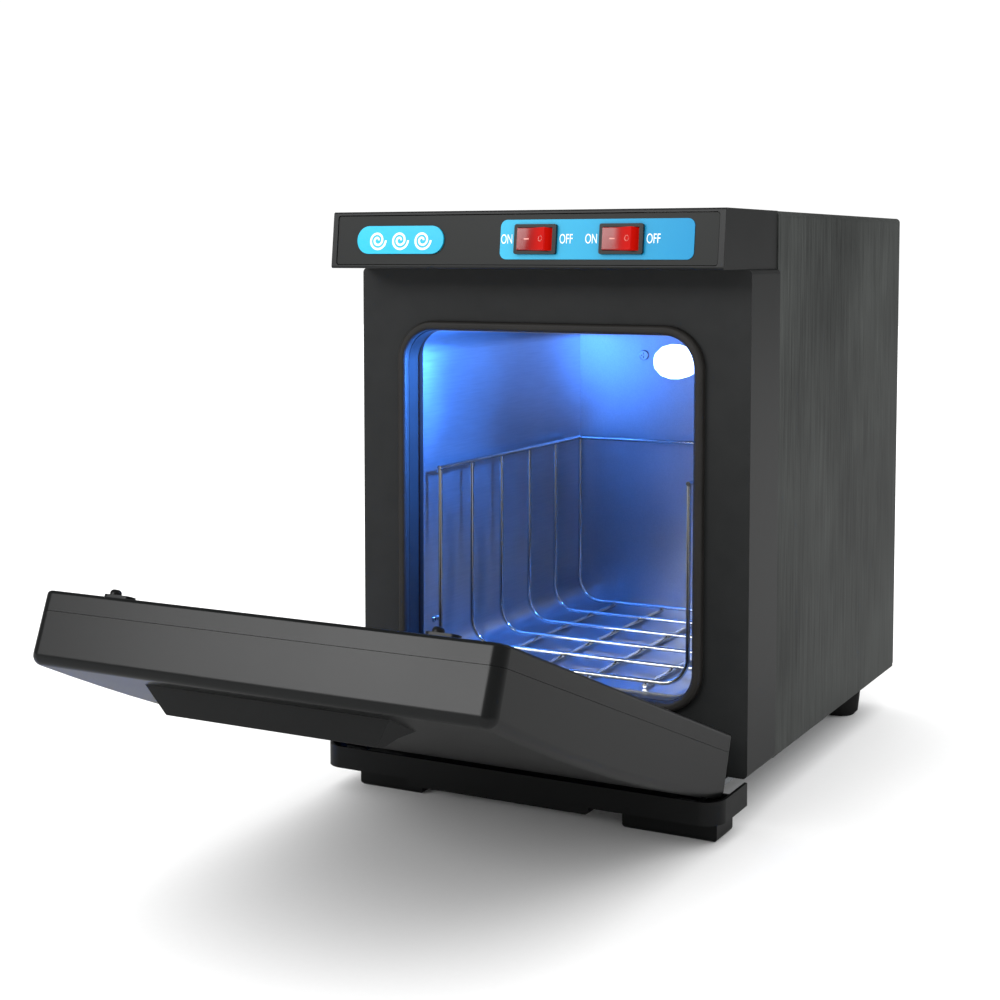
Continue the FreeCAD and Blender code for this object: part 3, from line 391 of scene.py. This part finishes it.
def softened(node: str, radius: float, material: bpy.types.Material) -> bpy.types.Object:
    """Rebuild a CAD node with small radii on its sharp edges.

    Args:
        node: Name of the CAD node.
        radius: Edge radius in metres.
        material: The finish of the piece.

    Returns:
        The new object, which stands for the node.
    """
    shape = merged_copy(node)
    sharp = [edge for edge in shape.edges
             if len(edge.link_faces) == 2 and edge.calc_face_angle(0.0) > ROUNDED_ANGLE]
    bmesh.ops.bevel(shape, geom=sharp, offset=radius, offset_type="OFFSET", segments=3,
                    profile=0.5, affect="EDGES", clamp_overlap=True, material=-1)
    bmesh.ops.remove_doubles(shape, verts=shape.verts, dist=SAME_PLACE)
    return new_piece(f"{node}_shell", shape, material)


def joint_row(name: str) -> dict:
    """The frame's row of a joint, by the joint's name."""
    return next(row for row in frame["joints"] if row["name"] == name)


@dataclass
class SubAssembly:
    """Pieces that belong together, with the finishes they wear."""

    body: str
    finishes: dict[str, bpy.types.Material]
    edge_radii: dict[str, float] = field(default_factory=dict)
    wears: dict[str, str] = field(default_factory=dict)

    def dress(self) -> None:
        """Give every node its finish, and the named nodes their edge radii."""
        for node, finish in self.wears.items():
            part = frame["nodes"][node]
            part.data.materials.clear()
            part.data.materials.append(self.finishes[finish])
        for node, radius in self.edge_radii.items():
            shell = softened(node, radius, self.finishes[self.wears[node]])
            self.adopt(shell, self.slot_of(node))
            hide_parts(node)
            LOG.info("%s: %d faces", shell.name, len(shell.data.polygons))

    def adopt(self, piece: bpy.types.Object, slot: str) -> None:
        """Make a new piece ride on this sub-assembly's body.

        Args:
            piece: The new object.
            slot: The record's material slot of the piece; not used.
        """
        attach(piece, self.body)

    @staticmethod
    def slot_of(node: str) -> str:
        """The record's material slot of a node."""
        return next(p["material_slot"] for p in frame["record"]["subparts"] if p["node"] == node)


# ---------------------------------------------------------------------------------- sub-assemblies

@dataclass
class Casing(SubAssembly):
    """Face frame, wrap, rear panel, base, feet and the screws that hold them."""

    def __post_init__(self) -> None:
        """Say what each casing node wears."""
        self.wears = {
            "face_frame": "gloss_black_abs", "door_gasket": "silicone_seal",
            "outer_wrap": "powder_coated_steel", "rear_panel": "powder_coated_steel",
            "base_plate": "zinc_plated_steel", "rear_screws": "black_screw",
            "foot_screws": "bright_steel", "rating_plate": "plate_foil",
            "tray_rails": "switch_nylon", "catch_magnets": "ferrite",
            "hinge_bracket_left": "zinc_plated_steel",
            "hinge_bracket_right": "zinc_plated_steel", "bracket_screws": "bright_steel",
            "cable_gland": "switch_nylon"}
        for row in ("front", "rear"):
            for side in ("left", "right"):
                self.wears[f"foot_{row}_{side}"] = "rubber"
        self.edge_radii = {"face_frame": 0.5 * MM, "outer_wrap": 0.25 * MM,
                           "rear_panel": 0.3 * MM, "hinge_bracket_left": 0.4 * MM,
                           "hinge_bracket_right": 0.4 * MM}


@dataclass
class PanelFace:
    """The tilted front of the control panel as a drawing plane."""

    across: Vector
    up: Vector
    out: Vector
    foot: Vector

    @classmethod
    def of_label(cls) -> "PanelFace":
        """Find the plane from the rockers' axis and the label's front face.

        Returns:
            The plane, with its foot on the label's face above the first rocker's axis.
        """
        joint = joint_row("rocker_1_tilt")
        up = Vector(joint["axis"]).normalized()
        across = Vector((1.0, 0.0, 0.0))
        out = up.cross(across).normalized()
        if out.y > 0:
            out.negate()
        label = frame["nodes"]["switch_label"].data
        front = max(v.co.dot(out) for v in label.vertices)
        pivot = Vector(joint["pos_m"])
        return cls(across, up, out, pivot + out * (front - pivot.dot(out)))

    def reach(self, node: str) -> float:
        """How far a CAD node stands out of the label's face."""
        return (max(v.co.dot(self.out) for v in frame["nodes"][node].data.vertices)
                - self.foot.dot(self.out))

    def matrix(self, x: float, lift: float = 0.0) -> Matrix:
        """Place a drawing made in its own X-Y plane onto the panel.

        Args:
            x: Place along the panel, in the model's X.
            lift: Distance out of the label's face.

        Returns:
            The transform.
        """
        spot = self.foot + self.out * lift
        spot.x = x
        turn = Matrix((self.across, self.up, self.out)).transposed().to_4x4()
        return Matrix.Translation(spot) @ turn


@dataclass
class ControlHood(SubAssembly):
    """Hood across the top with its panel, label, badge and two rocker switches."""

    word_height: float = 4.6 * MM
    word_narrowing: float = 0.62
    print_thick: float = 0.06 * MM
    gap_before: float = 1.5 * MM
    gap_after: float = 1.05 * MM
    roll_pitch: float = 13.0 * MM
    roll_drop: float = 0.2 * MM
    roll_inner: float = 0.7 * MM
    roll_outer: float = 4.9 * MM
    ribbon_wide: float = 1.15 * MM
    roll_turns: float = 2.0
    roll_steps: int = 54
    cap_share: ClassVar[float] = 0.7

    def __post_init__(self) -> None:
        """Say what each hood node wears."""
        self.wears = {
            "control_hood": "gloss_black_abs", "control_panel": "satin_grey_abs",
            "switch_label": "blue_label_film", "name_badge": "blue_badge_enamel",
            "switch_body_1": "switch_nylon", "switch_body_2": "switch_nylon",
            "switch_terminals": "tinned_brass"}
        self.edge_radii = {"control_hood": 0.45 * MM, "control_panel": 0.35 * MM,
                           "switch_body_1": 0.35 * MM, "switch_body_2": 0.35 * MM,
                           "name_badge": 0.3 * MM}

    def build(self) -> None:
        """Dress the nodes and add the printed marks."""
        self.dress()
        face = PanelFace.of_label()
        for number in (1, 2):
            low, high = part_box(f"switch_body_{number}")
            self.add_word("ON", low.x - self.gap_before, "RIGHT", face, number)
            self.add_word("OFF", high.x + self.gap_after, "LEFT", face, number)
        self.add_badge_sign(face)

    def add_word(self, text: str, x: float, side: str, face: PanelFace, number: int) -> None:
        """Print a generic switch word on the label.

        Args:
            text: The word.
            x: Where its near end lies.
            side: The end that lies there, as the text's alignment.
            face: The panel as a drawing plane.
            number: Which switch it belongs to.
        """
        curve = bpy.data.curves.new("word", "FONT")
        curve.body = text
        curve.align_x = side
        curve.align_y = "CENTER"
        curve.size = self.word_height / self.cap_share
        curve.extrude = self.print_thick / 2
        writing = bpy.data.objects.new("word", curve)
        mesh = bpy.data.meshes.new_from_object(writing)
        bpy.data.objects.remove(writing)
        shape = bmesh.new()
        shape.from_mesh(mesh)
        bmesh.ops.remove_doubles(shape, verts=shape.verts, dist=SAME_PLACE)
        narrow = Matrix.Diagonal((self.word_narrowing, 1.0, 1.0, 1.0))
        bmesh.ops.transform(shape, matrix=face.matrix(x, lift=self.print_thick / 2) @ narrow,
                            verts=shape.verts)
        piece = new_piece(f"print_{text.lower()}_{number}", shape, self.finishes["white_print"])
        self.adopt(piece, "blue_polycarbonate")

    def add_badge_sign(self, face: PanelFace) -> None:
        """Print a generic sign on the badge: three rolled towels seen from their ends.

        Args:
            face: The panel as a drawing plane.
        """
        low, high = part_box("name_badge")
        place = face.matrix((low.x + high.x) / 2, lift=face.reach("name_badge"))
        shape = bmesh.new()
        for step in (-1, 0, 1):
            self.draw_roll(shape, Vector((step * self.roll_pitch, -self.roll_drop,
                                          self.print_thick)))
        bmesh.ops.transform(shape, matrix=place, verts=shape.verts)
        piece = new_piece("badge_sign", shape, self.finishes["white_print"])
        self.adopt(piece, "blue_polycarbonate")

    def draw_roll(self, shape: bmesh.types.BMesh, middle: Vector) -> None:
        """Draw one rolled towel as a flat spiral ribbon, an edge drawn round and outwards.

        Args:
            shape: The bmesh that gets the ribbon.
            middle: Middle of the roll.
        """
        half = Vector((self.ribbon_wide / 2, 0.0, 0.0))
        start = middle + Vector((self.roll_inner, 0.0, 0.0))
        edge = shape.edges.new([shape.verts.new(start + half), shape.verts.new(start - half)])
        growth = (self.roll_outer - self.roll_inner) / self.roll_steps
        turn = Matrix.Rotation(self.roll_turns * math.tau / self.roll_steps, 3, "Z")
        ray = Vector((1.0, 0.0, 0.0))
        for _ in range(self.roll_steps):
            grown = bmesh.ops.extrude_edge_only(shape, edges=[edge])["geom"]
            verts = [item for item in grown if isinstance(item, bmesh.types.BMVert)]
            edge = next(item for item in grown if isinstance(item, bmesh.types.BMEdge)
                        and all(vert in verts for vert in item.verts))
            ray.rotate(turn)
            bmesh.ops.rotate(shape, verts=verts, cent=middle, matrix=turn)
            bmesh.ops.translate(shape, verts=verts, vec=ray * growth)


@dataclass
class Rocker(SubAssembly):
    """One rocker with its two moulded marks and a painted highlight glowing at its right end."""

    number: int = 1
    mark_thick: float = 0.12 * MM
    mark_offset: float = 4.1 * MM
    dash_size: tuple[float, float] = (2.6 * MM, 0.55 * MM)
    ring_radius: float = 1.5 * MM
    ring_hole_share: float = 0.66
    highlight_margin_mm: float = 3.0
    clear_of_face: float = 20 * MM

    def __post_init__(self) -> None:
        """Make the rocker's own lens finish, with a painted highlight glowing at its right end."""
        low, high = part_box(f"rocker_{self.number}")
        # Red polycarbonate: saturated, with a thin clear gloss. Its glow is a painted highlight, faint at the left
        # end and strongest at the right.
        lens = Glowing(f"red_lens_{self.number}", "#7a0504", 0.2, coat=0.15, grain_mm=1.5,
                       relief_mm=0.01, glow="#ff1a0a", power=0.4, highlight_dim_share=0.05,
                       start_mm=low.x / MM + self.highlight_margin_mm,
                       end_mm=high.x / MM - self.highlight_margin_mm)
        self.finishes = {**self.finishes, lens.name: lens.build()}
        self.wears = {f"rocker_{self.number}": lens.name}
        self.edge_radii = {f"rocker_{self.number}": 0.25 * MM}

    def build(self) -> None:
        """Dress the rocker and add its dash and ring."""
        self.dress()
        dash = bmesh.new()
        bmesh.ops.create_cube(dash, size=1.0,
                              matrix=Matrix.Diagonal((*self.dash_size, self.mark_thick, 1.0)))
        self.add_mark("dash", dash, -self.mark_offset)
        ring = bmesh.new()
        bmesh.ops.create_circle(ring, segments=32, radius=self.ring_radius, cap_ends=False)
        grown = bmesh.ops.extrude_edge_only(ring, edges=ring.edges)["geom"]
        verts = [item for item in grown if isinstance(item, bmesh.types.BMVert)]
        bmesh.ops.scale(ring, vec=(self.ring_hole_share, self.ring_hole_share, 1.0), verts=verts)
        bmesh.ops.recalc_face_normals(ring, faces=ring.faces)
        bmesh.ops.solidify(ring, geom=ring.faces, thickness=self.mark_thick)
        self.add_mark("ring", ring, self.mark_offset)

    def add_mark(self, name: str, shape: bmesh.types.BMesh, offset: float) -> None:
        """Set a mark onto the rocker's face at a place along the rocker.

        Args:
            name: What the mark is.
            shape: The mark, drawn flat about the origin.
            offset: Where it goes, from the rocker's middle.
        """
        face = PanelFace.of_label()
        middle = joint_row(f"rocker_{self.number}_tilt")["pos_m"][0]
        start = face.matrix(middle + offset, lift=self.clear_of_face).translation
        rocker = merged_copy(f"rocker_{self.number}")
        spot, normal, _, _ = BVHTree.FromBMesh(rocker).ray_cast(start, -face.out)
        rocker.free()
        side = face.up.cross(normal).normalized()
        turn = Matrix((side, face.up, normal)).transposed().to_4x4()
        bmesh.ops.transform(shape, matrix=Matrix.Translation(spot) @ turn, verts=shape.verts)
        piece = new_piece(f"rocker_{self.number}_{name}", shape, self.finishes["rocker_mark"])
        self.adopt(piece, "red_lens")


@dataclass
class Chamber(SubAssembly):
    """Lit metal chamber and everything wrapped round it."""

    def __post_init__(self) -> None:
        """Say what each chamber node wears."""
        self.wears = {
            "chamber_liner": "polished_aluminium", "uv_bulb": "lamp_glass",
            "lamp_holder": "white_ceramic", "liner_rivets": "bright_steel",
            "heater_mat": "orange_silicone", "heater_clamp": "zinc_plated_steel",
            "thermostat": "phenolic", "thermal_fuse": "tinned_brass", "lamp_ballast": "phenolic",
            "ballast_bracket": "zinc_plated_steel", "terminal_block": "white_ceramic",
            "insulation_blanket": "glass_felt"}


@dataclass
class Rack(SubAssembly):
    """Welded wire rack."""

    def __post_init__(self) -> None:
        """Say what each rack node wears."""
        self.wears = {f"rack_{part}": "chrome_wire" for part in ("hoops", "rails", "floor_wires")}


@dataclass
class Door(SubAssembly):
    """Drop-down door: two shells, foam, handle, catches and pins."""

    def __post_init__(self) -> None:
        """Say what each door node wears."""
        self.wears = {
            "door_cover": "satin_black_abs", "door_liner": "satin_black_abs",
            "door_insulation": "foam_sheet", "door_handle": "textured_black_abs",
            "handle_screws": "bright_steel", "catch_seats": "switch_nylon",
            "catch_studs": "black_screw", "hinge_pins": "bright_steel"}
        self.edge_radii = {"door_cover": 0.35 * MM, "door_liner": 0.35 * MM,
                           "door_handle": 0.5 * MM, "catch_seats": 0.5 * MM}


@dataclass
class DripTray(SubAssembly):
    """Drip tray under the door."""

    def __post_init__(self) -> None:
        """Say what the tray wears."""
        self.wears = {"drip_tray": "textured_black_abs"}
        self.edge_radii = {"drip_tray": 0.6 * MM}


# ------------------------------------------------------------------------------------------ studio

@dataclass
class Studio:
    """Floor, camera, lights and the light of the room, set out from the cabinet's casing.

    Angles are in degrees, and powers in watts.
    """

    floor_radius: float = 6.0
    camera_spot: tuple[float, float, float] = (0.3888, -0.9166, 0.2761)
    camera_turn: float = 27.88
    camera_tilt: float = 4.0
    lens: float = 63.0
    sensor: float = 36.0
    shift: float = -0.124
    light_target: tuple[float, float, float] = (0.0, -0.05, 0.15)
    floor_in_gloss: float = 0.36
    room_seen: float = 1.05
    room_light: float = 1.15
    room_in_gloss: float = 0.14
    sky_strength: float = 1.4
    sky_angle: float = 110.0
    beam_angle: float = 135.0
    beam_aim: tuple[float, float, float] = (-1.0, -0.05, -0.1)
    lamp_tint: str = "#3f86ff"
    lamp_radius: float = 9 * MM
    lamp_gap: float = 12 * MM
    middle: Vector = field(default_factory=Vector)

    def build(self) -> None:
        """Set everything up round the object."""
        bpy.context.scene.view_settings.view_transform = "Standard"
        front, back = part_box("face_frame")[0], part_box("rear_panel")[1]
        self.middle = Vector((0.0, (front.y + back.y) / 2, 0.0))
        self.add_floor()
        self.add_camera()
        self.add_room()
        self.add_softbox("front_left_box", (-1.02, -2.3, 1.1), (1.25, 0.62), 22.0)
        self.add_softbox("right_box", (1.7, 1.5, 1.5), (0.8, 1.0), 5.0)
        self.add_sky_panel()
        self.add_lamp_spill()

    def add_floor(self) -> None:
        """Lay a pale seamless floor, held dark in the object's gloss as black flags would."""
        shape = bmesh.new()
        bmesh.ops.create_circle(shape, cap_ends=True, segments=96, radius=self.floor_radius)
        paper = Finish("studio_paper", "#f6f6f6", 0.9, specular=0.1, shade="#f4f4f4",
                       mottle_mm=400, grain_mm=3.0, relief_mm=0.01).build()
        tree = paper.node_tree
        output = tree.nodes["Material Output"]
        white = output.inputs["Surface"].links[0].from_socket
        rays = add_node(tree, "ShaderNodeLightPath")
        flag = add_node(tree, "ShaderNodeBsdfDiffuse",
                        {"Color": (*[self.floor_in_gloss] * 3, 1.0)})
        mix = add_node(tree, "ShaderNodeMixShader", links={
            0: rays.outputs["Is Glossy Ray"], 1: white, 2: flag.outputs[0]})
        tree.links.new(mix.outputs[0], output.inputs["Surface"])
        new_piece("studio_floor", shape, paper)

    def add_camera(self) -> None:
        """Set the camera ahead of the cabinet's right corner."""
        data = bpy.data.cameras.new("camera")
        data.lens = self.lens
        data.sensor_width = self.sensor
        data.shift_y = self.shift
        camera = bpy.data.objects.new("camera", data)
        camera.location = self.middle + Vector(self.camera_spot)
        camera.rotation_euler = (math.radians(90 - self.camera_tilt), 0.0,
                                 math.radians(self.camera_turn))
        bpy.context.scene.collection.objects.link(camera)
        bpy.context.scene.camera = camera

    def add_room(self) -> None:
        """Light the room: white to look at, and dim in what the gloss reflects."""
        world = bpy.data.worlds.new("studio_room")
        world.use_nodes = True
        tree = world.node_tree
        tree.nodes.clear()
        rays = add_node(tree, "ShaderNodeLightPath")
        seen, room, gloss = (
            add_node(tree, "ShaderNodeBackground", {"Color": WHITE, "Strength": strength})
            for strength in (self.room_seen, self.room_light, self.room_in_gloss))
        lit = add_node(tree, "ShaderNodeMixShader", links={
            0: rays.outputs["Is Glossy Ray"], 1: room.outputs[0], 2: gloss.outputs[0]})
        mix = add_node(tree, "ShaderNodeMixShader", links={
            0: rays.outputs["Is Camera Ray"], 1: lit.outputs[0], 2: seen.outputs[0]})
        add_node(tree, "ShaderNodeOutputWorld", links={"Surface": mix.outputs[0]})
        bpy.context.scene.world = world

    def hang(self, data: bpy.types.Light, spot: tuple[float, float, float]) -> bpy.types.Object:
        """Hang a light so that it looks at the cabinet.

        Args:
            data: The light.
            spot: Where it hangs, from the middle of the casing's foot.

        Returns:
            The light's object.
        """
        light = bpy.data.objects.new(data.name, data)
        light.location = self.middle + Vector(spot)
        aim = Vector(self.light_target) - Vector(spot)
        light.rotation_euler = aim.to_track_quat("-Z", "Y").to_euler()
        bpy.context.scene.collection.objects.link(light)
        return light

    def add_softbox(self, name: str, spot: tuple[float, float, float],
                    size: tuple[float, float], power: float) -> None:
        """Hang a soft light that also shows in the gloss.

        Args:
            name: Name of the light.
            spot: Where it hangs.
            size: Its width and height.
            power: Its power in watts.
        """
        data = bpy.data.lights.new(name, "AREA")
        data.shape = "RECTANGLE"
        data.size, data.size_y = size
        data.energy = power
        self.hang(data, spot)

    def add_sky_panel(self) -> None:
        """Light the whole floor evenly from above, without a reflection in the gloss."""
        data = bpy.data.lights.new("sky_panel", "SUN")
        data.energy = self.sky_strength
        data.angle = math.radians(self.sky_angle)
        panel = self.hang(data, (-0.25, -0.1, 2.0))
        panel.visible_glossy = False

    def add_lamp_spill(self) -> None:
        """Let the bulb's blue light fill the chamber, mostly the wall across from it."""
        low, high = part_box("uv_bulb")
        spot = (low + high) / 2
        spot.x = low.x - self.lamp_gap
        for name, kind, power in (("bulb_beam", "SPOT", 10.0), ("bulb_light", "POINT", 0.15)):
            data = bpy.data.lights.new(name, kind)
            data.color = linear(self.lamp_tint)[:3]
            data.energy = power
            data.shadow_soft_size = self.lamp_radius
            lamp = self.hang(data, tuple(spot - self.middle))
            if kind == "SPOT":
                data.spot_size, data.spot_blend = math.radians(self.beam_angle), 1.0
                aim = Vector(self.beam_aim)
                lamp.rotation_euler = aim.to_track_quat("-Z", "Y").to_euler()


def main() -> None:
    """Build every sub-assembly, then the studio."""
    logging.basicConfig(level=logging.INFO, format="%(name)s: %(message)s")
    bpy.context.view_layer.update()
    finishes = {finish.name: finish.build() for finish in FINISHES}
    Casing("cabinet", finishes).dress()
    ControlHood("cabinet", finishes).build()
    for number in (1, 2):
        Rocker(f"rocker_{number}", finishes, number=number).build()
    Chamber("cabinet", finishes).dress()
    Rack("rack", finishes).dress()
    Door("door", finishes).dress()
    DripTray("tray", finishes).dress()
    Studio().build()


if __name__ == "__main__":
    main()
